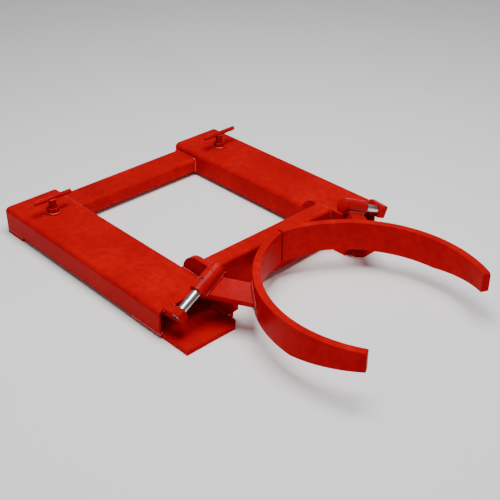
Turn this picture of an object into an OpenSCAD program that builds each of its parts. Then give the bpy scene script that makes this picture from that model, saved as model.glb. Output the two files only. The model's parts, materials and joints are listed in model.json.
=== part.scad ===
// Drum clamp for a fork truck: two fork pockets, two curved jaws on inclined pins.
// Frame: +X right, -Y forward (the jaws' side), +Z up, z = 0 at the underside of the base plates.
// "Reach" is the distance forward from the rear ends of the pockets.

/* [Fork pockets] */
// Outer width of one pocket
pocket_w = 160; // [130:1:200]
// Outer height of one pocket
pocket_h = 61; // [55:1:90]
// Length of one pocket
pocket_l = 638; // [500:1:900]
// Clear distance between the two pockets
pocket_gap = 412; // [360:1:560]
// Wall of the folded channel
pocket_wall = 5; // [4:0.5:8]
// Outside radius of the channel's bends
bend_r = 12; // [6:0.5:16]

/* [Frame plates and bars] */
// Thickness of the straps and plates under the pockets
plate_t = 12; // [8:1:20]
// Length of the rear strap
strap_l = 70; // [40:1:120]
// Length of the base plate
base_l = 188; // [160:1:260]
// How far the base plate stands out past the pocket
base_out = 88; // [70:1:120]
// How far the base plate stands in from the pocket's outer side
base_inset = 5; // [0:0.5:12]
// Chamfer on the base plate's inner front corner
base_chamfer = 15; // [4:1:20]
// Depth, front to back, of the rear cross bar
rear_bar_d = 90; // [60:1:120]
// Height of the rear cross bar
rear_bar_h = 40; // [30:1:50]
// Depth, front to back, of the front cross bar
front_bar_d = 50; // [40:1:60]
// Height of the front cross bar
front_bar_h = 100; // [80:1:110]
// Wall of both cross bars
bar_wall = 5; // [3:0.5:8]
// Outside corner radius of both cross bars
bar_corner_r = 8; // [5:0.5:12]
// Inside corner radius of both cross bars
bar_inner_r = 4; // [1:0.5:8]
// How far the front cross bar's front face stands back from the pockets' front ends
front_bar_back = 4.5; // [2:0.5:60]
// Thickness of the upright hinge plate
hinge_plate_t = 15; // [10:1:20]
// How far the hinge plate runs back from the pin's axis
hinge_plate_back = 136; // [100:1:170]
// How far the hinge plate runs forward of the pin's axis
hinge_plate_front = 40; // [30:1:60]
// Radius of the hinge plate's rear top corner
hinge_plate_back_r = 51; // [20:1:58]
// Where the hinge plate steps down under the arm, forward of the pin's axis
hinge_plate_step = 3; // [0:0.5:8]
// Height of the hinge plate under the arm, above the pocket's underside
hinge_plate_nose_h = 73; // [50:1:74]
// Radius of the hinge plate's nose
hinge_plate_nose_r = 16; // [6:1:30]
// Chamfer on the hinge plate's front lower corner
hinge_plate_chamfer = 17; // [6:1:24]

/* [Hinges] */
// Angle of the pivot pins above the horizontal, rising towards the middle
hinge_tilt = 24; // [20:0.5:35]
// Angle by which the pivot pins' outer ends lie forward
hinge_toe = 6; // [0:0.5:12]
// Gap between the arm boss's outer end and the pocket's front end
hinge_gap = 7.5; // [2:0.5:12]
// How far the upper bush bites into the hinge plate's thickness
bush_bite = 4; // [2:0.5:10]
// How far the upper bush's low point lies below the hinge plate's top
bush_sink = 2.5; // [1:0.5:8]
// Diameter of the pivot pin
pin_d = 22; // [16:1:24]
// Length of bare pin between the arm boss and the lower lug
pin_bare_l = 56; // [40:0.5:64]
// Diameter of the pin's head
pin_head_d = 36; // [28:1:40]
// Thickness of the pin's head
pin_head_t = 4; // [3:0.5:8]
// Radial gap between the pin's head and its recess in the hinge plate
pin_head_gap = 1; // [0.5:0.5:3]
// Outside diameter of the arm boss and of the upper bush
boss_d = 38; // [34:1:42]
// Length of the arm boss along the pin
boss_l = 54; // [48:1:60]
// Length of the upper bush along the pin
bush_l = 20; // [16:1:30]
// Thickness of the lower lug along the pin
lug_t = 20; // [14:1:22]
// Width of the lower lug's bar
lug_w = 34; // [30:1:40]
// Radius of the lower lug's corners
lug_corner_r = 5; // [2:0.5:10]
// How far the lower lug runs forward of the pin's axis
lug_front = 17; // [15:0.5:22]
// How far the lower lug runs back under the pocket's roof
lug_tail_l = 26; // [16:1:60]
// Diameter of the roll pin
roll_pin_d = 6; // [4:1:8]
// How far the roll pin's ends lie inside the arm boss's surface
roll_pin_sink = 1; // [0:0.5:3]
// Radial clearance of the turning fits
turn_clear = 0.05; // [0.02:0.01:0.09]
// End gap between neighbours along the pin
end_gap = 0.5; // [0.3:0.1:1]

/* [Arms and jaws] */
// Width of the arm bar
arm_w = 50; // [40:1:56]
// Thickness of the arm bar
arm_t = 20; // [14:1:24]
// Angle of the arm bar inwards from straight ahead
arm_in = 27.7; // [20:0.1:34]
// How far the arm bar's upper face lies below the pin's axis
arm_drop = 8; // [0:0.5:10]
// Distance of the arm bar's middle from the arm boss's outer end
arm_at = 31; // [26:0.5:36]
// Radial gap between the arm bar and the upper bush
arm_clear = 1; // [0.5:0.5:3]
// Inside radius of the jaws
jaw_r = 290; // [240:1:330]
// Thickness of the jaws
jaw_t = 18; // [12:1:22]
// How far each jaw's centre lies past the middle when closed
jaw_past = 57; // [30:1:80]
// Angle from the rearward direction, about the jaw's centre, to the tip
jaw_sweep = 120.5; // [100:0.5:130]
// Height of the jaw over most of its length
jaw_h = 75; // [60:1:80]
// Extra height of the jaw at its inner end
jaw_root_h = 9; // [0:1:14]
// Distance from the middle at which the extra height starts to run out
jaw_root_flat = 46; // [10:1:60]
// Distance from the middle at which the extra height has run out
jaw_root_w = 94; // [70:1:120]
// Height of the jaw at its tip
jaw_tip_h = 46; // [30:1:60]
// How far behind the jaw's centre its lower edge starts to rise
jaw_taper_back = 10; // [0:1:60]
// Height of the jaws' upper edge above the pockets' underside
jaw_top = 120; // [118:1:140]
// Gap between the two jaws' inner ends
jaw_gap = 4; // [3:0.5:12]
// Gap between the closed jaws and the front cross bar
stop_gap = 0.5; // [0.3:0.1:2]
// Radius of the tip's upper corner
jaw_tip_r = 8; // [3:1:14]

/* [Fork clamps] */
// Reach of the clamp screws
screw_reach = 105; // [96:1:200]
// Diameter of the clamp screw
screw_d = 20; // [16:1:24]
// Radial gap between the clamp screw and the hole in the pocket's roof
screw_hole_gap = 1; // [0.5:0.5:3]
// Length of screw above the pocket's roof
screw_up = 38; // [36:0.5:60]
// Width across the clamp nut's flats
nut_af = 30; // [27:1:36]
// Height of the clamp nut
nut_h = 16; // [12:1:18]
// Diameter of the tommy bar
tommy_d = 12; // [10:1:14]
// Length of the tommy bar
tommy_l = 112; // [80:1:140]
// How far the tommy bar is let into the screw's top
tommy_in = 2; // [1:0.5:4]
// Diameter of the clamp pad
pad_d = 36; // [30:1:44]
// Thickness of the clamp pad
pad_t = 9; // [7:0.5:12]
// Diameter of the spigot on which the pad turns
spigot_d = 14; // [10:1:16]
// Length of the spigot
spigot_l = 6; // [4:0.5:6.5]
// Gap between the open clamp pad and the pocket's roof
pad_gap = 1; // [0.5:0.5:4]

/* [Hidden] */
$fn = 64;
paint = [0.72, 0.06, 0.04];
bright = [0.82, 0.83, 0.85];
// Overlap that lets a cutting shape run clear of the face it cuts
cut = 1;

pocket_in = pocket_gap / 2;
pocket_mid = pocket_in + pocket_w / 2;
roof_z = plate_t + pocket_h;
roof_under = roof_z - pocket_wall;

front_bar_reach = pocket_l - front_bar_back;

bush_at = boss_l + end_gap;
bush_top = bush_at + bush_l;
head_at = bush_top + end_gap;
roll_pin_l = boss_d - 2 * roll_pin_sink;
pin_low = -(pin_bare_l + lug_t);
// The pin's way for each millimetre of it: inwards, and rearwards
pin_in = cos(hinge_tilt) * cos(hinge_toe);
pin_back = cos(hinge_tilt) * sin(hinge_toe);
// The pin's axis at the arm boss's outer end, worked back from the bush's seat on the hinge plate
pin_x = pocket_in - bush_bite + boss_d / 2 * sin(hinge_tilt) + bush_top * pin_in;
pin_z = plate_t + front_bar_h - bush_sink + boss_d / 2 * cos(hinge_tilt) - bush_top * sin(hinge_tilt);
pin_reach = pocket_l + hinge_gap + boss_d / 2;
lug_reach = pin_reach - (pin_low + lug_t / 2) * pin_back;
lug_l = lug_front + (lug_reach - pocket_l) / cos(hinge_toe) + lug_tail_l;

jaw_out_r = jaw_r + jaw_t;
root_angle = asin((jaw_past + jaw_gap / 2) / jaw_out_r);
jaw_mid_reach = front_bar_reach + stop_gap + jaw_out_r * cos(root_angle);
tip_reach = jaw_mid_reach - jaw_out_r * cos(jaw_sweep);
jaw_z = plate_t + jaw_top;
jaw_under = jaw_z - jaw_h;
taper_reach = jaw_mid_reach - jaw_taper_back;

// The arm bar's direction in the pin's own frame: turned about the pin, then leaning along it
arm_from_pin = arm_in - hinge_toe;
arm_turn = atan2(-cos(arm_from_pin), -sin(arm_from_pin) * sin(hinge_tilt));
arm_lean = asin(sin(arm_from_pin) * cos(hinge_tilt));

screw_top = roof_z + screw_up;
pad_z = roof_under - pad_gap - pad_t;

// The model's origin is at the middle of its footprint
rear_y = tip_reach / 2;
function y_at(reach) = rear_y - reach;

// Puts a shape made for the right side on the left
module on_left() {
    mirror([1, 0, 0]) children();
}

// Local Z runs up the pin towards the middle, X outwards and up, Y rearwards
module at_pin() {
    translate([pin_x, y_at(pin_reach), pin_z]) rotate([0, hinge_tilt - 90, -hinge_toe]) children();
}

// Hollow bar across the frame, with round corners
module cross_bar(length, depth, height) {
    rotate([0, 90, 0]) linear_extrude(length, center = true) difference() {
        rounded(height, depth, bar_corner_r);
        rounded(height - 2 * bar_wall, depth - 2 * bar_wall, bar_inner_r);
    }
}

// Rectangle about the origin, with round corners
module rounded(size_x, size_y, r) {
    square([size_x - 2 * r, size_y], center = true);
    square([size_x, size_y - 2 * r], center = true);
    for (x = [-1, 1], y = [-1, 1]) translate([x * (size_x / 2 - r), y * (size_y / 2 - r)]) circle(r);
}

// Outline of the folded channel, seen along the tine, standing on z = 0
module channel_outline(w, h, r) {
    translate([-w / 2, 0]) square([w, h - r]);
    translate([r - w / 2, 0]) square([w - 2 * r, h]);
    for (x = [-1, 1]) translate([x * (w / 2 - r), h - r]) circle(r);
}

module fork_pocket() {
    color(paint) difference() {
        translate([pocket_mid, y_at(0), plate_t]) rotate([90, 0, 0]) linear_extrude(pocket_l)
            channel_outline(pocket_w, pocket_h, bend_r);
        translate([pocket_mid, y_at(-cut), plate_t - cut]) rotate([90, 0, 0]) linear_extrude(pocket_l + 2 * cut)
            channel_outline(pocket_w - 2 * pocket_wall, pocket_h - pocket_wall + cut, bend_r - pocket_wall);
        translate([pocket_mid, y_at(screw_reach), roof_under - cut])
            cylinder(r = screw_d / 2 + screw_hole_gap, h = pocket_wall + 2 * cut);
    }
}

module rear_strap() {
    color(paint) translate([pocket_in, y_at(strap_l), 0]) cube([pocket_w, strap_l, plate_t]);
}

module base_plate() {
    back = y_at(pocket_l + base_out - base_l);
    front = y_at(pocket_l + base_out);
    outer = pocket_in + pocket_w - base_inset;
    color(paint) linear_extrude(plate_t) polygon([
        [pocket_in, back], [outer, back], [outer, front],
        [pocket_in + base_chamfer, front], [pocket_in, front + base_chamfer]
    ]);
}

module rear_cross_bar() {
    color(paint) translate([0, y_at(rear_bar_d / 2), plate_t + rear_bar_h / 2])
        cross_bar(pocket_gap, rear_bar_d, rear_bar_h);
}

module front_cross_bar() {
    color(paint) translate([0, y_at(front_bar_reach - front_bar_d / 2), plate_t + front_bar_h / 2])
        cross_bar(pocket_gap - 2 * hinge_plate_t, front_bar_d, front_bar_h);
}

// Outline of the hinge plate, X forwards from the pin's axis, Y up from the base plate's underside
module hinge_plate_outline() {
    top = plate_t + front_bar_h;
    nose = plate_t + hinge_plate_nose_h;
    difference() {
        polygon([
            [-hinge_plate_back, 0], [-hinge_plate_back, top], [hinge_plate_step, top], [hinge_plate_step, nose],
            [hinge_plate_front, nose], [hinge_plate_front, plate_t + hinge_plate_chamfer],
            [hinge_plate_front - hinge_plate_chamfer, plate_t], [hinge_plate_front - hinge_plate_chamfer, 0]
        ]);
        corner_cut(-hinge_plate_back, top, -1, hinge_plate_back_r);
        corner_cut(hinge_plate_front, nose, 1, hinge_plate_nose_r);
    }
}

// What is cut away from an outline's upper corner to round it; side is -1 at its left and 1 at its right
module corner_cut(x, y, side, r) {
    translate([x, y]) mirror([side > 0 ? 1 : 0, 0]) difference() {
        translate([-cut, -r]) square([r + cut, r + cut]);
        translate([r, -r]) circle(r);
    }
}

module hinge_plate() {
    color(paint) difference() {
        translate([pocket_in, y_at(pin_reach), 0]) rotate([90, 0, -90])
            linear_extrude(hinge_plate_t) hinge_plate_outline();
        at_pin() translate([0, 0, bush_at - cut]) cylinder(d = boss_d, h = bush_l + cut);
        at_pin() translate([0, 0, bush_top]) cylinder(r = pin_head_d / 2 + pin_head_gap, h = pin_head_t + 2 * end_gap);
    }
}

module upper_bush() {
    color(paint) at_pin() translate([0, 0, bush_at]) difference() {
        cylinder(d = boss_d, h = bush_l);
        translate([0, 0, -cut]) cylinder(r = pin_d / 2 + turn_clear, h = bush_l + 2 * cut);
    }
}

module lower_lug() {
    color(paint) difference() {
        at_pin() translate([0, lug_l / 2 - lug_front, pin_low]) linear_extrude(lug_t)
            rounded(lug_w, lug_l, lug_corner_r);
        at_pin() translate([0, 0, pin_low - cut]) cylinder(r = pin_d / 2 + turn_clear, h = lug_t + 2 * cut);
        translate([pocket_in, y_at(pocket_l), roof_under]) cube([pocket_w, lug_l, 2 * lug_w]);
    }
}

module pivot_pin() {
    color(bright) at_pin() difference() {
        union() {
            translate([0, 0, pin_low]) cylinder(d = pin_d, h = head_at - pin_low + cut);
            translate([0, 0, head_at]) cylinder(d = pin_head_d, h = pin_head_t);
        }
        roll_pin_hole();
    }
}

// Bore across the boss and the pin
module roll_pin_hole() {
    translate([0, 0, boss_l / 2]) rotate([0, 90, 0]) cylinder(d = roll_pin_d, h = boss_d + 2 * cut, center = true);
}

module roll_pin() {
    color(bright) at_pin() translate([0, 0, boss_l / 2]) rotate([0, 90, 0]) difference() {
        cylinder(d = roll_pin_d, h = roll_pin_l, center = true);
        cylinder(d = roll_pin_d / 2, h = roll_pin_l + 2 * cut, center = true);
    }
}

module arm_boss() {
    color(paint) at_pin() difference() {
        cylinder(d = boss_d, h = boss_l);
        translate([0, 0, -cut]) cylinder(d = pin_d, h = boss_l + 2 * cut);
        roll_pin_hole();
    }
}

module arm_bar() {
    color(paint) difference() {
        at_pin() translate([0, 0, arm_at]) rotate([0, 0, arm_turn]) rotate([0, -arm_lean, 0])
            translate([0, -arm_drop - arm_t, -arm_w / 2]) cube([jaw_out_r, arm_t, arm_w]);
        at_pin() translate([0, 0, -boss_l]) cylinder(d = boss_d, h = 3 * boss_l);
        at_pin() translate([0, 0, boss_l]) cylinder(d = boss_d + 2 * arm_clear, h = 2 * boss_l);
        jaw_cylinder(jaw_out_r, jaw_z + boss_d);
        translate([-jaw_past, y_at(jaw_mid_reach), 0]) translate([-jaw_out_r, -2 * jaw_out_r, 0])
            cube([2 * jaw_out_r, 2 * jaw_out_r, jaw_z + boss_d]);
    }
}

// Upright cylinder about the jaw's centre
module jaw_cylinder(r, h) {
    translate([-jaw_past, y_at(jaw_mid_reach), 0]) cylinder(r = r, h = h, $fn = 128);
}

// Everything the jaw's sweep keeps, from its centre outwards
module jaw_sector() {
    far = 2 * jaw_out_r;
    translate([-jaw_past, y_at(jaw_mid_reach), 0]) linear_extrude(jaw_z) polygon([
        [0, 0], [0, far], [far, far],
        [far, far * cos(jaw_sweep) / sin(jaw_sweep)]
    ]);
}

// What is cut away under the jaw, seen from the front
module jaw_root_cut() {
    far = jaw_past + 2 * jaw_out_r;
    low = jaw_under - jaw_root_h;
    rotate([90, 0, 0]) linear_extrude(2 * far, center = true) polygon([
        [-far, -cut], [-far, low], [jaw_root_flat, low], [jaw_root_w, jaw_under], [far, jaw_under], [far, -cut]
    ]);
}

// What is cut away under the jaw towards its tip, seen from the side
module jaw_tip_cut() {
    rise = (jaw_h - jaw_tip_h) / (tip_reach - taper_reach);
    past = tip_reach + 2 * cut;
    rotate([90, 0, 90]) linear_extrude(2 * jaw_out_r) polygon([
        [y_at(taper_reach), jaw_under - cut], [y_at(taper_reach), jaw_under],
        [y_at(past), jaw_under + rise * (past - taper_reach)], [y_at(past), jaw_under - cut]
    ]);
}

// What is cut away above the jaw's tip, seen from the side, to round its upper corner
module jaw_tip_round() {
    rotate([90, 0, 90]) linear_extrude(2 * jaw_out_r) corner_cut(y_at(tip_reach), jaw_z, -1, jaw_tip_r);
}

module jaw() {
    color(paint) difference() {
        intersection() {
            difference() {
                jaw_cylinder(jaw_out_r, jaw_z);
                translate([0, 0, -cut]) jaw_cylinder(jaw_r, jaw_z + 2 * cut);
            }
            jaw_sector();
        }
        translate([jaw_gap / 2 - 2 * jaw_out_r, y_at(tip_reach), -cut])
            cube([2 * jaw_out_r, 2 * jaw_out_r, jaw_z + 2 * cut]);
        jaw_root_cut();
        jaw_tip_cut();
        jaw_tip_round();
    }
}

module clamp_nut() {
    color(paint) translate([pocket_mid, y_at(screw_reach), roof_z]) difference() {
        cylinder(d = nut_af / cos(30), h = nut_h, $fn = 6);
        translate([0, 0, -cut]) cylinder(r = screw_d / 2 + turn_clear, h = nut_h + 2 * cut);
    }
}

module clamp_screw() {
    shank_z = pad_z + pad_t;
    color(paint) translate([pocket_mid, y_at(screw_reach), 0]) difference() {
        union() {
            translate([0, 0, shank_z]) cylinder(d = screw_d, h = screw_top - shank_z);
            translate([0, 0, shank_z - spigot_l]) cylinder(d = spigot_d, h = spigot_l + cut);
        }
        translate([0, 0, screw_top - tommy_in + tommy_d / 2]) rotate([0, 90, 0])
            cylinder(d = tommy_d, h = screw_d + 2 * cut, center = true);
    }
}

module tommy_bar() {
    color(paint) translate([pocket_mid, y_at(screw_reach), screw_top - tommy_in + tommy_d / 2])
        rotate([0, 90, 0]) cylinder(d = tommy_d, h = tommy_l, center = true);
}

module clamp_pad() {
    color(paint) translate([pocket_mid, y_at(screw_reach), pad_z]) difference() {
        cylinder(d = pad_d, h = pad_t);
        translate([0, 0, pad_t - spigot_l - 2 * end_gap]) cylinder(r = spigot_d / 2 + turn_clear, h = pad_t);
    }
}

fork_pocket();  // right_fork_pocket
on_left() fork_pocket();  // left_fork_pocket
rear_strap();  // right_rear_strap
on_left() rear_strap();  // left_rear_strap
base_plate();  // right_base_plate
on_left() base_plate();  // left_base_plate
rear_cross_bar();
front_cross_bar();
hinge_plate();  // right_hinge_plate
on_left() hinge_plate();  // left_hinge_plate
upper_bush();  // right_upper_bush
on_left() upper_bush();  // left_upper_bush
lower_lug();  // right_lower_lug
on_left() lower_lug();  // left_lower_lug
pivot_pin();  // right_pivot_pin
on_left() pivot_pin();  // left_pivot_pin
roll_pin();  // right_roll_pin
on_left() roll_pin();  // left_roll_pin
arm_boss();  // right_arm_boss
on_left() arm_boss();  // left_arm_boss
arm_bar();  // right_arm_bar
on_left() arm_bar();  // left_arm_bar
jaw();  // right_jaw
on_left() jaw();  // left_jaw
clamp_nut();  // right_clamp_nut
on_left() clamp_nut();  // left_clamp_nut
clamp_screw();  // right_clamp_screw
on_left() clamp_screw();  // left_clamp_screw
tommy_bar();  // right_tommy_bar
on_left() tommy_bar();  // left_tommy_bar
clamp_pad();  // right_clamp_pad
on_left() clamp_pad();  // left_clamp_pad
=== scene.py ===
"""Drum clamp for a fork truck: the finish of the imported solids, with threads, beads and rounded edges.

Lengths in the tables below are millimetres; MM turns them to metres.
"""

import json
import math
import random

import bmesh
import bpy
from mathutils import Matrix, Vector, noise


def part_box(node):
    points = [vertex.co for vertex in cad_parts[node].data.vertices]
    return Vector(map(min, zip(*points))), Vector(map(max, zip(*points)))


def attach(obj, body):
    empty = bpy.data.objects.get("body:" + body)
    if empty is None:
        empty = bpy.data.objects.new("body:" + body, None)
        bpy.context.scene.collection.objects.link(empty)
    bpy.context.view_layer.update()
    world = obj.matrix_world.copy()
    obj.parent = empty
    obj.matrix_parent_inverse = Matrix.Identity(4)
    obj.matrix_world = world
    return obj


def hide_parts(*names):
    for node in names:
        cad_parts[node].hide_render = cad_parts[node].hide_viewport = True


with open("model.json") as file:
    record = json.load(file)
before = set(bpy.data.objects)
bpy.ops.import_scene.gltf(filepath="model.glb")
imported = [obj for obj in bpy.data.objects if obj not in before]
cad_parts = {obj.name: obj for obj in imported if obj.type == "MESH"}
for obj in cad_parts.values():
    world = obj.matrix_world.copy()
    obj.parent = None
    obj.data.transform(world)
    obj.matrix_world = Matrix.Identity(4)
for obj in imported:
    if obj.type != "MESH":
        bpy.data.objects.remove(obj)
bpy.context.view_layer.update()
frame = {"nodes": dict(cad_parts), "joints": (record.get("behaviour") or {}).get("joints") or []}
nodes = frame["nodes"]

MM = 0.001
SIDES = {"right": 1, "left": -1}
rng = random.Random(210)


# ---------------------------------------------------------------- materials


def linear(hex_colour):
    """An sRGB hex colour as linear RGBA."""
    parts = [int(hex_colour[i : i + 2], 16) / 255 for i in (1, 3, 5)]
    return [c / 12.92 if c <= 0.04045 else ((c + 0.055) / 1.055) ** 2.4 for c in parts] + [1]


def add(tree, kind, feeds=None, **settings):
    """A node with its settings. Its inputs are filled by name or number, by a link or with a value."""
    made = tree.nodes.new("ShaderNode" + kind)
    for name, value in settings.items():
        setattr(made, name, value)
    for name, value in (feeds or {}).items():
        if isinstance(value, bpy.types.NodeSocket):
            tree.links.new(value, made.inputs[name])
        else:
            made.inputs[name].default_value = value
    return made


def ramp(tree, value, *stops):
    """A colour ramp through (position, hex colour) stops."""
    made = add(tree, "ValToRGB", {"Fac": value})
    elements = made.color_ramp.elements
    while len(elements) < len(stops):
        elements.new(0.5)
    for element, (position, colour) in zip(elements, stops):
        element.position = position
        element.color = linear(colour)
    return made.outputs["Color"]


def fresh(name):
    """An empty material: its tree, its surface shader and the place on the object in metres."""
    made = bpy.data.materials.new(name)
    made.use_nodes = True
    tree = made.node_tree
    tree.nodes.clear()
    shader = add(tree, "BsdfPrincipled")
    add(tree, "OutputMaterial", {"Surface": shader.outputs[0]})
    place = add(tree, "TexCoord").outputs["Object"]
    return made, tree, shader, place


def enamel(name, deep, full, worn, peel_mm, lumps_mm, grain, shine):
    """Two-pack gloss enamel sprayed on steel.

    deep, full and worn are its colours where it is thick, ordinary, and thin over an edge.
    peel_mm is the height of the orange peel, lumps_mm that of the steel's own unevenness,
    grain how matt the film is, and shine how much clear resin has risen over the colour.
    """
    made, tree, shader, place = fresh(name)
    # The film's colour drifts over a hand's breadth, where the gun passed twice
    drift = add(tree, "TexNoise", {"Vector": place, "Scale": 9, "Detail": 3})
    cloud = add(tree, "TexNoise", {"Vector": place, "Scale": 55, "Detail": 5, "Roughness": 0.65})
    both = add(tree, "Math", {0: drift.outputs["Fac"], 1: cloud.outputs["Fac"]}, operation="MULTIPLY_ADD")
    both.inputs[2].default_value = 0.12
    colour = ramp(tree, both.outputs[0], (0.22, deep), (0.52, full))

    # A sprayed film draws back from an arris: how far the rounded normal leaves the face's own
    soft = add(tree, "Bevel", {"Radius": 1.6 * MM}, samples=6)
    face = add(tree, "NewGeometry").outputs["Normal"]
    along = add(tree, "VectorMath", {0: soft.outputs[0], 1: face}, operation="DOT_PRODUCT")
    arris = add(tree, "MapRange", {"Value": along.outputs["Value"], "From Min": 0.995, "From Max": 0.80})
    patch = add(tree, "TexNoise", {"Vector": place, "Scale": 140, "Detail": 4})
    thin = add(tree, "Math", {0: arris.outputs[0], 1: patch.outputs["Fac"]}, operation="MULTIPLY")
    # Sockets 6, 7 and output 2 are this node's colours
    worn_mix = add(tree, "Mix", {0: thin.outputs[0], 6: colour, 7: linear(worn)}, data_type="RGBA")
    tree.links.new(worn_mix.outputs[2], shader.inputs["Base Color"])

    # Handling leaves faint dull streaks and wiped patches in the gloss
    wiped = add(tree, "Mapping", {"Vector": place, "Scale": (30, 420, 420)})
    streak = add(tree, "TexNoise", {"Vector": wiped.outputs[0], "Scale": 1, "Detail": 6, "Roughness": 0.7})
    haze = add(tree, "Math", {0: streak.outputs["Fac"], 1: cloud.outputs["Fac"]}, operation="MULTIPLY")
    dull = add(tree, "MapRange", {"Value": haze.outputs[0], "From Min": 0.15, "From Max": 0.4,
                                  "To Min": grain, "To Max": grain + 0.16})
    tree.links.new(dull.outputs[0], shader.inputs["Roughness"])

    # Orange peel about 3 mm across, over the steel's broader lumps
    peel = add(tree, "TexNoise", {"Vector": place, "Scale": 330, "Detail": 2})
    lumps = add(tree, "TexNoise", {"Vector": place, "Scale": 70, "Detail": 4, "Roughness": 0.55})
    low = add(tree, "Bump", {"Height": lumps.outputs["Fac"], "Distance": lumps_mm * MM,
                             "Normal": soft.outputs[0]})
    high = add(tree, "Bump", {"Height": peel.outputs["Fac"], "Distance": peel_mm * MM,
                              "Normal": low.outputs[0]})
    tree.links.new(high.outputs[0], shader.inputs["Normal"])
    shader.inputs["IOR"].default_value = 1.5
    shader.inputs["Specular IOR Level"].default_value = shine
    shader.inputs["Coat Weight"].default_value = shine
    shader.inputs["Coat Roughness"].default_value = 0.1
    return made


def bar_steel(name, bright, dark, marks, grain):
    """Bare steel bar; marks is how fine the turning or drawing marks are over its own height."""
    made, tree, shader, place = fresh(name)
    whole = add(tree, "TexCoord").outputs["Generated"]
    stretched = add(tree, "Mapping", {"Vector": whole, "Scale": (2, 2, marks)})
    rings = add(tree, "TexNoise", {"Vector": stretched.outputs[0], "Scale": 1, "Detail": 6, "Roughness": 0.6})
    stain = add(tree, "TexNoise", {"Vector": place, "Scale": 120, "Detail": 5})
    mixed = add(tree, "Math", {0: rings.outputs["Fac"], 1: stain.outputs["Fac"]}, operation="MULTIPLY")
    tree.links.new(ramp(tree, mixed.outputs[0], (0.12, dark), (0.4, bright)), shader.inputs["Base Color"])
    dull = add(tree, "MapRange", {"Value": stain.outputs["Fac"], "From Min": 0.3, "From Max": 0.7,
                                  "To Min": grain, "To Max": grain + 0.14})
    tree.links.new(dull.outputs[0], shader.inputs["Roughness"])
    cut_marks = add(tree, "Bump", {"Height": rings.outputs["Fac"], "Distance": 0.03 * MM})
    tree.links.new(cut_marks.outputs[0], shader.inputs["Normal"])
    shader.inputs["Metallic"].default_value = 1
    return made


# Gloss signal-red enamel sprayed on rolled plate and bar: smooth, wet-looking, thinner on every arris
PLATE = enamel("signal_red_enamel_on_plate", "#A2000B", "#C2000F", "#D81216", 0.05, 0.25, 0.32, 0.02)
# The same enamel on turned tube, screws and nuts, where it lies closer to the metal
TURNED = enamel("signal_red_enamel_on_turned_steel", "#A0000B", "#C0000F", "#D61216", 0.06, 0.12, 0.3, 0.05)
# The same enamel run over weld metal: lumpy, and so full of small highlights
WELD = enamel("signal_red_enamel_on_weld", "#9C000A", "#C2000F", "#DA161A", 0.15, 0.9, 0.1, 0.45)
# Bright drawn bar, turned to size: fine rings, mirror-like along its length
DRAWN = bar_steel("bright_drawn_steel", "#E4E6E8", "#A9ADB0", 260, 0.16)
# Spring-steel strip rolled into a pin and oil-blacked
SPRING = bar_steel("blackened_spring_steel", "#5A5C5E", "#2E2F31", 60, 0.38)


# ---------------------------------------------------------------- pieces


def finish_as(obj, *materials):
    """Puts the materials in the object's slots, in order."""
    obj.data.materials.clear()
    for made in materials:
        obj.data.materials.append(made)


def piece(name, mesh, body, slot, *materials):
    """A new piece that rides on a body."""
    obj = bpy.data.objects.new(name, mesh)
    bpy.context.scene.collection.objects.link(obj)
    finish_as(obj, *materials)
    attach(obj, body)
    return obj


def mesh_of(name, verts, faces, sharp_deg=35):
    """A mesh with faces turned outwards and smooth between sharp edges."""
    mesh = bpy.data.meshes.new(name)
    mesh.from_pydata([tuple(v) for v in verts], [], faces)
    shape = bmesh.new()
    shape.from_mesh(mesh)
    bmesh.ops.remove_doubles(shape, verts=shape.verts, dist=1e-7)
    bmesh.ops.recalc_face_normals(shape, faces=shape.faces)
    for face in shape.faces:
        face.smooth = True
    for edge in shape.edges:
        if len(edge.link_faces) == 2 and edge.calc_face_angle(0) > math.radians(sharp_deg):
            edge.smooth = False
    shape.to_mesh(mesh)
    shape.free()
    return mesh


def turned(name, profile, place, segments=96):
    """A turned solid from a closed (radius, height) profile in mm about the place's Z."""
    verts, faces = [], []
    count = len(profile)
    for i in range(segments):
        a = 2 * math.pi * i / segments
        for r, h in profile:
            verts.append(place @ Vector((r * math.cos(a) * MM, r * math.sin(a) * MM, h * MM)))
    for i in range(segments):
        k = (i + 1) % segments
        for j in range(count):
            n = (j + 1) % count
            faces.append([i * count + j, k * count + j, k * count + n, i * count + n])
    return mesh_of(name, verts, faces)


def mirrored(points, sign):
    """Points made for the right side, on the side asked for."""
    return [Vector((sign * p.x, p.y, p.z)) for p in points]


def resampled(points, step, closed):
    """The path walked in equal steps."""
    pts = list(points) + ([points[0]] if closed else [])
    lengths = [0]
    for a, b in zip(pts, pts[1:]):
        lengths.append(lengths[-1] + (b - a).length)
    count = max(2, round(lengths[-1] / step))
    out, j = [], 0
    for i in range(count + (0 if closed else 1)):
        want = lengths[-1] * i / count
        while j < len(lengths) - 2 and lengths[j + 1] < want:
            j += 1
        span = lengths[j + 1] - lengths[j]
        out.append(pts[j].lerp(pts[j + 1], (want - lengths[j]) / span if span else 0))
    return out


# One freeze line of the bead to the next, and how far each stands up, as a share of the bead's radius
RIPPLE = 2.4 * MM
RIPPLE_RISE = 0.10
# A bead's radius and that of the ball at a run's end, as shares of its leg
BEAD_FULLNESS = 0.62
END_FULLNESS = 0.68
# How unevenly a bead was laid, as a share of its radius, and how quickly that changes along it
SWELL = 0.16
SWELL_PER_M = 90
# An open run starts at this share of its radius and is full after this length
TAPER_FROM = 0.45
TAPER_L = 4 * MM
BEAD_STEP = 0.6 * MM
BEAD_SIDES = 12
# A ball of spatter: how far out it lies, as shares of the leg, and its radius in mm
SPATTER_OUT = (0.4, 0.62)
SPATTER_R = (0.8, 1.7)


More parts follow.
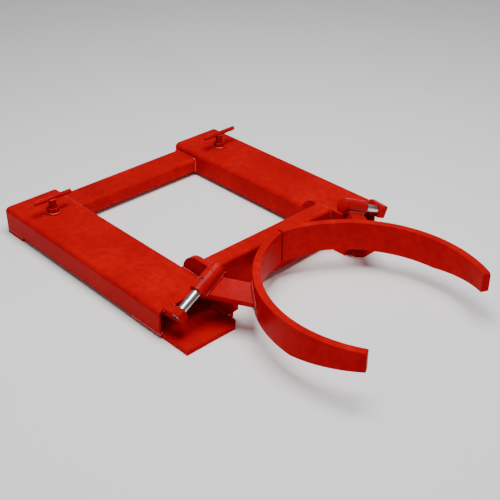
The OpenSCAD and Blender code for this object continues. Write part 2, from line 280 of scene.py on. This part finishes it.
def bead(points, leg_mm, closed=False):
    """Verts and faces of one weld bead along a path: a lumpy run with freeze lines, its ends tapered."""
    path = resampled(points, BEAD_STEP, closed)
    count = len(path)
    radius = leg_mm * MM * BEAD_FULLNESS
    shift = rng.random() * 50
    verts, faces = [], []
    for i, p in enumerate(path):
        before = path[i - 1] if i or closed else p
        after = path[(i + 1) % count] if i + 1 < count or closed else p
        ahead = (after - before).normalized()
        side = ahead.cross(Vector((0.31, 0.43, 0.85))).normalized()
        up = ahead.cross(side)
        walked = i * BEAD_STEP
        pulse = 1 + RIPPLE_RISE * (1 - 2 * ((walked / RIPPLE) % 1))
        swell = 1 + SWELL * noise.noise(p * SWELL_PER_M + Vector((shift, 0, 0)))
        taper = 1 if closed else min(1, TAPER_FROM + min(i, count - 1 - i) * BEAD_STEP / TAPER_L)
        for s in range(BEAD_SIDES):
            a = 2 * math.pi * s / BEAD_SIDES
            out = (side * math.cos(a) + up * math.sin(a)) * radius * pulse * swell * taper
            verts.append(p + out + ahead * (0.5 * MM * math.sin(a)))
    rings = count if closed else count - 1
    for i in range(rings):
        k = (i + 1) % count
        for s in range(BEAD_SIDES):
            n = (s + 1) % BEAD_SIDES
            faces.append([i * BEAD_SIDES + s, k * BEAD_SIDES + s, k * BEAD_SIDES + n, i * BEAD_SIDES + n])
    if not closed:
        faces.append(list(range(BEAD_SIDES)))
        faces.append([(count - 1) * BEAD_SIDES + s for s in reversed(range(BEAD_SIDES))])
    return verts, faces


def dot(centre, radius):
    """Verts and faces of one small ball, for spatter and the end of a run."""
    verts, faces = [], []
    rows, cols = 5, 8
    for r in range(rows):
        t = math.pi * (r + 0.5) / rows
        for c in range(cols):
            a = 2 * math.pi * c / cols
            out = Vector((math.sin(t) * math.cos(a), math.sin(t) * math.sin(a), math.cos(t)))
            verts.append(centre + out * radius)
    for r in range(rows - 1):
        for c in range(cols):
            n = (c + 1) % cols
            faces.append([r * cols + c, (r + 1) * cols + c, (r + 1) * cols + n, r * cols + n])
    faces.append(list(range(cols)))
    faces.append([(rows - 1) * cols + c for c in reversed(range(cols))])
    return verts, faces


def weld(name, body, runs, spatter=0):
    """One piece of weld metal: several runs as (points, leg in mm, closed), with spatter along them.

    spatter is how many balls lie against each run.
    """
    verts, faces = [], []
    for points, leg, closed in runs:
        shapes = [bead(points, leg, closed)]
        if not closed:
            shapes += [dot(p, leg * END_FULLNESS * MM) for p in (points[0], points[-1])]
        for _ in range(spatter):
            p = points[rng.randrange(len(points))]
            off = Vector((rng.uniform(-1, 1), rng.uniform(-1, 1), rng.uniform(-1, 1))).normalized()
            shapes.append(dot(p + off * leg * rng.uniform(*SPATTER_OUT) * MM, rng.uniform(*SPATTER_R) * MM))
        for v, f in shapes:
            base = len(verts)
            verts += v
            faces += [[base + n for n in face] for face in f]
    mesh = mesh_of(name, verts, faces, 60)
    return piece(name, mesh, body, "red_paint", WELD)


# ---------------------------------------------------------------- places taken from the solids


def box_mm(node):
    """Lowest and highest corner of a CAD node in mm."""
    lo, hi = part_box(node)
    return lo / MM, hi / MM


def at(x, y, z):
    """A point in metres, given in mm."""
    return Vector((x, y, z)) * MM


def along_x(xs, y, z):
    """A straight run across the frame."""
    return [at(x, y, z) for x in xs]


def along_y(x, ys, z):
    """A straight run from front to rear."""
    return [at(x, y, z) for y in ys]


def along_z(x, y, zs):
    """An upright run."""
    return [at(x, y, z) for z in zs]


pocket_lo, pocket_hi = box_mm("right_fork_pocket")
strap_lo, strap_hi = box_mm("right_rear_strap")
_, base_hi = box_mm("right_base_plate")
rear_lo, rear_hi = box_mm("rear_cross_bar")
front_lo, front_hi = box_mm("front_cross_bar")
plate_lo, plate_hi = box_mm("right_hinge_plate")
nut_lo, nut_hi = box_mm("right_clamp_nut")
screw_lo, screw_hi = box_mm("right_clamp_screw")
tommy_lo, tommy_hi = box_mm("right_tommy_bar")
_, jaw_hi = box_mm("right_jaw")

joints = {j["name"]: j for j in frame["joints"]}
hinge = joints["right_arm_hinge"]
# Up the pin, towards the middle and upwards
PIN_UP = Vector(hinge["axis"]).normalized()
PIN_AT = Vector(hinge["pos_m"])
PIN_BACK = PIN_UP.cross(Vector((0, 0, 1))).normalized()
PIN_OUT = PIN_BACK.cross(PIN_UP).normalized()


def near_pin(out, back, up):
    """A point in the pin's own frame, in mm: outwards and up from it, rearwards, and up along it."""
    return PIN_AT + (PIN_OUT * out + PIN_BACK * back + PIN_UP * up) * MM


def pin_matrix(sign):
    """The pin's frame as a matrix, on the side asked for."""
    cols = [PIN_OUT, PIN_BACK, PIN_UP]
    made = Matrix.Identity(4)
    for c, v in enumerate(cols):
        for r in range(3):
            made[r][c] = v[r]
    for r in range(3):
        made[r][3] = PIN_AT[r]
    return Matrix.Diagonal((sign, 1, 1, 1)) @ made


# Radii of the boss, the pin and its head, and the head's thickness
BOSS_R = 19
PIN_R = 11
HEAD_R = 18
HEAD_T = 4
# Heights along the pin: the upper bush's lower end and its length, the head, the lug's far end and middle
BUSH_AT = 54.5
BUSH_L = 20
HEAD_AT = 75
LUG_FAR = -76
LUG_MID = -66
# The jaw's outside radius and its centre, so far past the middle and in front of its root
JAW_OUT_R = 308
JAW_MID = at(-57, (jaw_hi.y - 302.3), 0)
# The arm bar's direction, width, thickness, drop below the pin's axis, and place along the pin
ARM_IN = math.radians(27.7)
ARM_W = 50
ARM_T = 20
ARM_DROP = 8
ARM_AT = 31


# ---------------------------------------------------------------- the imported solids


def rounded_edges(node, width_mm, *materials):
    """A CAD solid keeps its shape and gets sheared-and-dressed edges and its finish."""
    obj = nodes[node]
    finish_as(obj, *materials)
    for face in obj.data.polygons:
        face.use_smooth = True
        face.material_index = 0
    dressed = obj.modifiers.new("dressed_edges", "BEVEL")
    dressed.width = width_mm * MM
    dressed.segments = 3
    dressed.limit_method = "ANGLE"
    dressed.angle_limit = math.radians(40)
    dressed.use_clamp_overlap = True
    dressed.harden_normals = True


EDGES = {
    "fork_pocket": 0.8, "rear_strap": 1.2, "base_plate": 1.2, "hinge_plate": 1.4, "upper_bush": 1.0,
    "lower_lug": 1.4, "arm_boss": 1.0, "arm_bar": 1.6, "jaw": 1.8, "tommy_bar": 0.8,
}
for side in SIDES:
    for part, width in EDGES.items():
        finish = TURNED if part in ("upper_bush", "arm_boss", "tommy_bar") else PLATE
        rounded_edges(f"{side}_{part}", width, finish)
for part in ("rear_cross_bar", "front_cross_bar"):
    rounded_edges(part, 0.6, PLATE)


# ---------------------------------------------------------------- pins


def pins(side, sign):
    """The headed pivot pin, bright where it is bare and painted on its head, and the roll pin."""
    place = pin_matrix(sign)
    chamfer, neck, head_round = 1.5, HEAD_AT - 0.4, 1.6
    head_top = HEAD_AT + HEAD_T
    shank = [(0, LUG_FAR), (PIN_R - chamfer, LUG_FAR), (PIN_R, LUG_FAR + chamfer), (PIN_R, neck), (0, neck)]
    head = [(0, neck), (PIN_R, neck), (PIN_R, HEAD_AT), (HEAD_R, HEAD_AT), (HEAD_R, head_top - head_round),
            (HEAD_R - 0.5, head_top - 0.6), (HEAD_R - head_round, head_top), (0, head_top)]
    mesh = turned(f"{side}_pin_mesh", shank, place)
    painted = turned(f"{side}_pin_head_mesh", head, place)
    pin = piece(f"{side}_bright_pin", mesh, f"{side}_arm", "bright_steel", DRAWN)
    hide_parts(f"{side}_pivot_pin")
    piece(f"{side}_pin_head", painted, f"{side}_arm", "red_paint", TURNED)
    finish_as(nodes[f"{side}_roll_pin"], SPRING)


# ---------------------------------------------------------------- fork clamps

# The screw's thread; a flank takes up half the pitch divided by the steepness
THREAD_PITCH = 2.5
THREAD_DEPTH = 1.3
THREAD_STEEPNESS = 1.35
# Radii of the screw, of its spigot, and their play in nut and pad
SCREW_R = 10
SPIGOT_R = 7
PLAY = 0.05
# Chamfer in the nut's bore, and the width of its flat face as a share of the flats
BORE_CHAMFER = 1.2
NUT_LAND = 0.97


def screw_mesh(name, centre, low, top, spigot_low):
    """A right-hand threaded screw with a plain spigot below; the tommy bar is let into its flat top."""
    segments, step = 48, THREAD_PITCH / 8
    run_out_rows = 12
    rows = round((top - low) / step)
    verts, faces = [], []

    def ring(z, radius_of):
        for i in range(segments):
            a = 2 * math.pi * i / segments
            r = radius_of(a)
            verts.append(at(centre.x + r * math.cos(a), centre.y + r * math.sin(a), z))

    ring(spigot_low, lambda a: 0)
    ring(spigot_low, lambda a: SPIGOT_R - 1)
    ring(spigot_low + 1, lambda a: SPIGOT_R)
    ring(low, lambda a: SPIGOT_R)
    for row in range(rows + 1):
        z = low + (top - low) * row / rows
        run_out = min(1, row / run_out_rows, (rows - row) / run_out_rows + 0.15)

        def flank(a, z=z, run_out=run_out):
            turn = (z / THREAD_PITCH - a / (2 * math.pi)) % 1
            groove = max(0, 1 - abs(2 * turn - 1) * THREAD_STEEPNESS)
            return SCREW_R - 2 * PLAY - THREAD_DEPTH * groove * run_out

        ring(z, flank)
    ring(top, lambda a: 0)
    total = len(verts) // segments
    for j in range(total - 1):
        for i in range(segments):
            k = (i + 1) % segments
            low_i, low_k = j * segments + i, j * segments + k
            faces.append([low_i, low_k, low_k + segments, low_i + segments])
    return mesh_of(name, verts, faces, 50)


def nut_mesh(name, centre, low, top, flats):
    """A hexagon nut, both its faces chamfered at 30 degrees."""
    segments = 120
    verts, faces = [], []
    bore, mouth = SCREW_R + PLAY, SCREW_R + PLAY + BORE_CHAMFER
    land = flats / 2 * NUT_LAND
    for i in range(segments):
        a = 2 * math.pi * i / segments
        hexed = flats / 2 / math.cos((a + math.pi / 6) % (math.pi / 3) - math.pi / 6)
        fall = (hexed - land) * math.tan(math.radians(30))
        profile = [(bore, low + BORE_CHAMFER), (mouth, low), (land, low), (hexed, low + fall),
                   (hexed, top - fall), (land, top), (mouth, top), (bore, top - BORE_CHAMFER)]
        verts += [at(centre.x + r * math.cos(a), centre.y + r * math.sin(a), z) for r, z in profile]
    count = len(profile)
    for i in range(segments):
        k = (i + 1) % segments
        for j in range(count):
            n = (j + 1) % count
            faces.append([i * count + j, k * count + j, k * count + n, i * count + n])
    return mesh_of(name, verts, faces, 25)


def circle(centre, radius, z, sides=48):
    """Points round an upright axis."""
    angles = [2 * math.pi * i / sides for i in range(sides)]
    return [at(centre.x + radius * math.cos(a), centre.y + radius * math.sin(a), z) for a in angles]


def fork_clamp(side, sign):
    """The nut and the threaded screw, with the beads that hold the nut and the tommy bar."""
    mid = Vector((sign * (screw_lo.x + screw_hi.x) / 2, (screw_lo.y + screw_hi.y) / 2, 0))
    body = f"{side}_screw"
    _, pad_hi = box_mm(f"{side}_clamp_pad")
    tommy_mid = (tommy_lo.z + tommy_hi.z) / 2
    threaded = screw_mesh(f"{side}_screw_mesh", mid, pad_hi.z, screw_hi.z, screw_lo.z)
    thread = piece(f"{side}_threaded_screw", threaded, body, "red_paint", TURNED)
    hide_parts(f"{side}_clamp_screw")
    hexagon = nut_mesh(f"{side}_nut_mesh", mid, nut_lo.z, nut_hi.z, nut_hi.y - nut_lo.y)
    nut = piece(f"{side}_hex_nut", hexagon, "frame", "red_paint", TURNED)
    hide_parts(f"{side}_clamp_nut")
    rounded_edges(f"{side}_clamp_pad", 1.2, TURNED)
    flats = (nut_hi.y - nut_lo.y) / 2
    weld(f"{side}_nut_weld", "frame", [(circle(mid, flats + 2.2, nut_lo.z + 1.2), 5.5, True)], spatter=10)
    runs = []
    for y in (-1, 1):
        runs.append((along_x((mid.x - 8, mid.x, mid.x + 8), mid.y + y * 5.4, tommy_mid - 4.6), 4, False))
    weld(f"{side}_tommy_weld", body, runs, spatter=2)


# ---------------------------------------------------------------- welds


# Corner radius of both hollow bars
BAR_CORNER_R = 8


def bar_end(x, lo, hi, corner):
    """The path round the end of a hollow bar, where it meets a plate."""
    path = []
    corners = [(hi.y, hi.z, 0), (lo.y, hi.z, 90), (lo.y, lo.z, 180), (hi.y, lo.z, 270)]
    for y, z, start in corners:
        cy = y - corner if y == hi.y else y + corner
        cz = z - corner if z == hi.z else z + corner
        for k in range(5):
            a = math.radians(start + 22.5 * k)
            path.append(at(x, cy + corner * math.cos(a), cz + corner * math.sin(a)))
    return path


def frame_welds(side, sign):
    """Everything that joins the frame on one side.

    Each run's points stand the few millimetres off the corner that the bead's middle does.
    """
    inner, outer = pocket_lo.x, pocket_hi.x
    front = pocket_lo.y
    mouth = (front + 60, front + 20, front)
    runs = [
        (bar_end(inner - 0.5, rear_lo, rear_hi, BAR_CORNER_R), 5, True),
        # The plate's rear edge against the pocket, and the groove along the pocket's rounded shoulder
        (along_z(inner + 0.3, plate_hi.y + 1, (pocket_lo.z + 2, 35, pocket_hi.z - 8)), 6, False),
        (along_y(inner + 3.5, (front + 4, front + 50, plate_hi.y - 6), pocket_hi.z - 3.2), 6, False),
        # The base plate against the hinge plate, in front of the pocket
        (along_y(inner + 2, (front - 2, front - 30, plate_lo.y + 17), base_hi.z + 1.5), 8, False),
        # The pocket's mouth on the base plate, inside the two walls
        (along_y(outer - 6.5, mouth, base_hi.z + 1), 5, False),
        (along_y(inner + 6.5, mouth, base_hi.z + 1), 5, False),
        # The seams between the pocket's wall and the strap and base plate under it
        (along_y(outer - 0.8, (strap_lo.y, strap_hi.y), strap_hi.z), 2.4, False),
        (along_y(outer - 2.5, (front, base_hi.y), base_hi.z - 1.5), 5, False),
        (along_x((inner + 7, outer - 7), strap_lo.y - 0.5, strap_hi.z - 0.5), 4, False),
    ]
    runs = [(mirrored(points, sign), leg, closed) for points, leg, closed in runs]
    weld(f"{side}_frame_welds", "frame", runs, spatter=5)

    # The front cross bar's end on the hinge plate: its top is flush with the plate
    lo, hi = front_lo, front_hi
    upright = (lo.z + 6, hi.z - 6)
    level = (lo.y + BAR_CORNER_R, hi.y - BAR_CORNER_R)
    ends = [
        (along_z(hi.x + 0.5, hi.y, upright), 5, False),
        (along_z(hi.x + 0.5, lo.y, upright), 4, False),
        (along_y(hi.x + 0.5, level, lo.z), 5, False),
        (along_y(hi.x + 0.3, level, hi.z - 0.6), 3, False),
    ]
    weld(f"{side}_cross_bar_weld", "frame", [(mirrored(p, sign), leg, c) for p, leg, c in ends], spatter=3)


def bush_seat(side, sign):
    """The beads where the upper bush sits in the hinge plate, and those of the lug at the pocket's mouth."""
    path = []
    # Round the bush's underside, each point slid along the bush until it meets the plate's side or top
    for k in range(-80, 81, 4):
        a = math.radians(180 + k)
        rim = near_pin(BOSS_R * math.cos(a), BOSS_R * math.sin(a), 0)
        along = (plate_hi.x * MM - rim.x) / PIN_UP.x
        p = rim + PIN_UP * along
        if p.z > plate_hi.z * MM:
            along = (plate_hi.z * MM - rim.z) / PIN_UP.z
            p = rim + PIN_UP * along
        if BUSH_AT + 1 <= along / MM <= BUSH_AT + BUSH_L - 1 and p.x >= (plate_lo.x + 1) * MM:
            path.append(p)
    lug = []
    roof = pocket_hi.z
    mouth = pocket_lo.y
    lug_x = PIN_AT.x / MM + LUG_MID * PIN_UP.x
    lug.append(along_x((lug_x - 15, lug_x, lug_x + 15), mouth - 1.5, roof - 1.5))
    lug.append([at(lug_x - 12 - k * 0.5, mouth + 2 + k * 8, roof - 6.5) for k in range(3)])
    runs = [(mirrored(path, sign), 6, False)] if len(path) > 3 else []
    runs += [(mirrored(points, sign), 5, False) for points in lug]
    weld(f"{side}_hinge_welds", "frame", runs, spatter=10)


def arm_frame():
    """The arm bar's own directions: along it, across it, and out of its upper face."""
    ahead = Vector((-math.sin(ARM_IN), -math.cos(ARM_IN), 0))
    up = PIN_UP.cross(ahead).normalized()
    if up.z < 0:
        up = -up
    across = up.cross(ahead).normalized()
    return ahead, across, up


def on_boss(point, ahead):
    """Where a line from a point meets the boss, going ahead."""
    rel = point - PIN_AT
    d = ahead - PIN_UP * ahead.dot(PIN_UP)
    r = rel - PIN_UP * rel.dot(PIN_UP)
    a, b, c = d.dot(d), 2 * r.dot(d), r.dot(r) - (BOSS_R * MM) ** 2
    root = b * b - 4 * a * c
    return point + ahead * ((-b + math.sqrt(root)) / (2 * a)) if root >= 0 else None


def on_jaw(point, ahead):
    """Where a line from a point meets the back of the jaw, going ahead."""
    r = point - JAW_MID
    a = ahead.x**2 + ahead.y**2
    b = 2 * (r.x * ahead.x + r.y * ahead.y)
    c = r.x**2 + r.y**2 - (JAW_OUT_R * MM) ** 2
    root = b * b - 4 * a * c
    return point + ahead * ((-b - math.sqrt(root)) / (2 * a)) if root >= 0 else None


def arm_welds(side, sign):
    """The beads round both ends of the arm bar."""
    ahead, across, up = arm_frame()
    middle = near_pin(0, 0, ARM_AT)
    half = ARM_W // 2
    rows = range(-half, half + 1, 5)
    top = [(w, -ARM_DROP) for w in rows]
    under = [(w, -ARM_DROP - ARM_T) for w in reversed(rows)]
    runs = []
    for meet, leg in ((on_boss, 7), (on_jaw, 7)):
        for line in (top, under):
            starts = [middle + (across * w + up * h) * MM for w, h in line]
            points = [q for q in (meet(p, ahead) for p in starts) if q is not None]
            if len(points) > 2:
                runs.append((mirrored(points, sign), leg, False))
    for w in (-half, half):
        starts = [middle + (across * w + up * (-ARM_DROP - h)) * MM for h in (0, 7, 14, ARM_T)]
        for meet in (on_boss, on_jaw):
            points = [q for q in (meet(p, ahead) for p in starts) if q is not None]
            if len(points) > 2:
                runs.append((mirrored(points, sign), 6, False))
    weld(f"{side}_arm_welds", f"{side}_arm", runs, spatter=9)


for side, sign in SIDES.items():
    pins(side, sign)
    fork_clamp(side, sign)
    frame_welds(side, sign)
    bush_seat(side, sign)
    arm_welds(side, sign)


# ---------------------------------------------------------------- floor, light and camera


def floor():
    """A plain pale floor."""
    mesh = bpy.data.meshes.new("floor_mesh")
    reach = 14
    corners = [(-reach, -reach, 0), (reach, -reach, 0), (reach, reach, 0), (-reach, reach, 0)]
    mesh.from_pydata(corners, [], [[0, 1, 2, 3]])
    obj = bpy.data.objects.new("floor", mesh)
    bpy.context.scene.collection.objects.link(obj)
    made, tree, shader, place = fresh("pale_paper")
    speck = add(tree, "TexNoise", {"Vector": place, "Scale": 3, "Detail": 3})
    colour = ramp(tree, speck.outputs["Fac"], (0.3, "#FBFBFB"), (0.7, "#FEFEFE"))
    tree.links.new(colour, shader.inputs["Base Color"])
    shader.inputs["Roughness"].default_value = 0.9
    finish_as(obj, made)


def lamp(name, place, look_at, width, power):
    """A soft square lamp."""
    data = bpy.data.lights.new(name, "AREA")
    data.size = width
    data.energy = power
    obj = bpy.data.objects.new(name, data)
    bpy.context.scene.collection.objects.link(obj)
    obj.location = place
    obj.rotation_mode = "QUATERNION"
    obj.rotation_quaternion = (Vector(look_at) - Vector(place)).to_track_quat("-Z", "Y")


floor()
lamp("overhead", (-0.1, -0.2, 2.6), (0, -0.1, 0), 1.6, 88)
lamp("low_left", (-2.6, -2.0, 1.0), (0, -0.2, 0.05), 0.25, 0.8)

world = bpy.data.worlds.new("pale_room")
bpy.context.scene.world = world
world.use_nodes = True
world.node_tree.nodes["Background"].inputs["Color"].default_value = linear("#FFFFFF")
world.node_tree.nodes["Background"].inputs["Strength"].default_value = 0.22

rear_y = pocket_hi.y * MM
camera_data = bpy.data.cameras.new("camera")
camera_data.sensor_width = 36
camera_data.lens = 66.4
camera = bpy.data.objects.new("camera", camera_data)
bpy.context.scene.collection.objects.link(camera)
camera.location = (-1.3412, rear_y - 1.9633, 1.2445)
camera_aim = Vector((0.0223, rear_y - 0.5168, 0.012))
camera.rotation_mode = "QUATERNION"
camera.rotation_quaternion = (camera_aim - camera.location).to_track_quat("-Z", "Y")
bpy.context.scene.camera = camera
